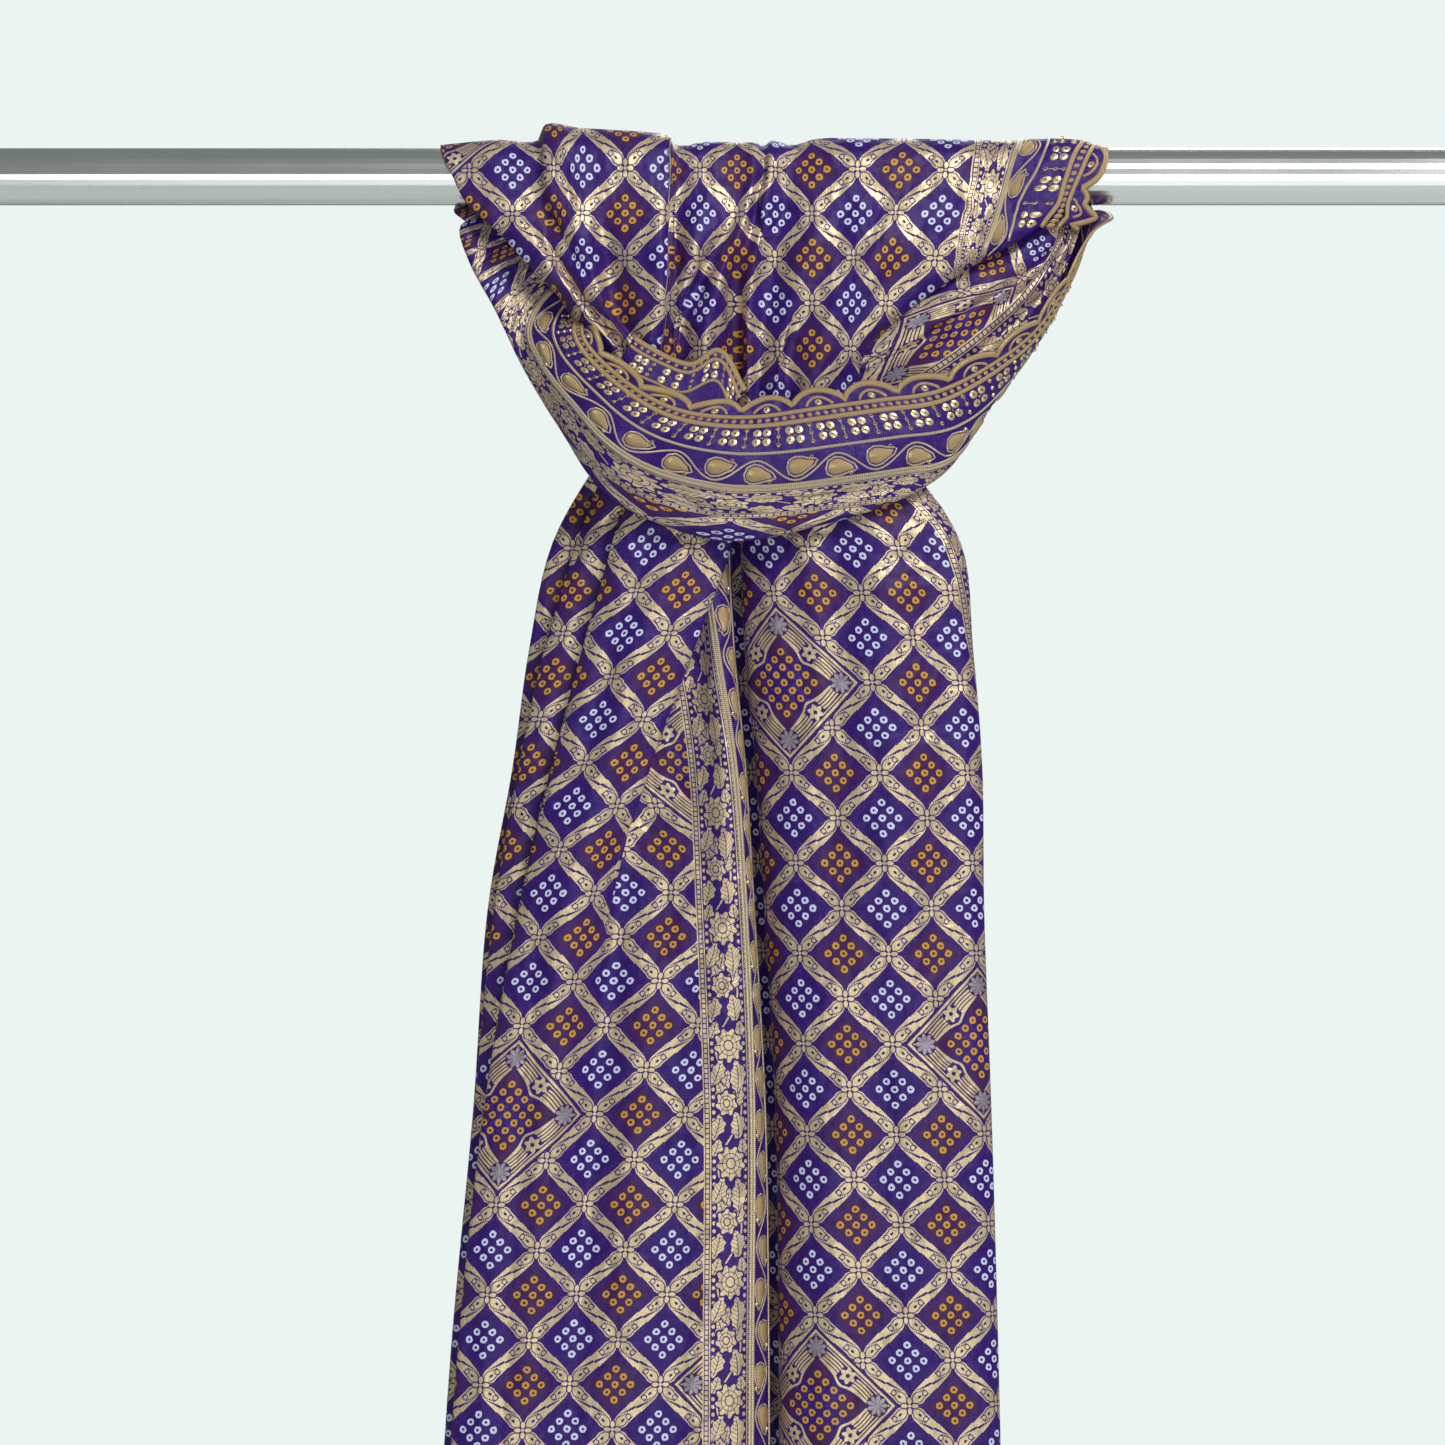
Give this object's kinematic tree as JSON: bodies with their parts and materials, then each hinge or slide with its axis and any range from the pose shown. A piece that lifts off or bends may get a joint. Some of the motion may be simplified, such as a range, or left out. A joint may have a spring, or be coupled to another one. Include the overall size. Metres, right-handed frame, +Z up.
{
  "type": "dupatta stole on a hanging rod",
  "caption": "Brocade dupatta stole, folded and hitched with a loop on a round steel rod, its two ends hanging in flat folds.",
  "frame": {"origin": "on the axis of the rod, near the middle of the cloth, where the rod holds it", "axes": "+X along the rod, to the right as seen from the front; -Y towards the front; +Z up"},
  "size_m": [0.96, 0.087, 0.8942],
  "materials": {
    "steel": "polished",
    "silk": "satin",
    "lace": "satin"
  },
  "bodies": {
    "root": {"rod": "steel", "gather": "silk", "gather_lace": "lace", "loop": "silk", "loop_lace": "lace", "loop_inner": "silk", "lace_turn": "lace", "tail_left": "silk", "tail_left_hem": "lace", "tail_right": "silk", "tail_right_hem": "lace"}
  },
  "joints": []
}
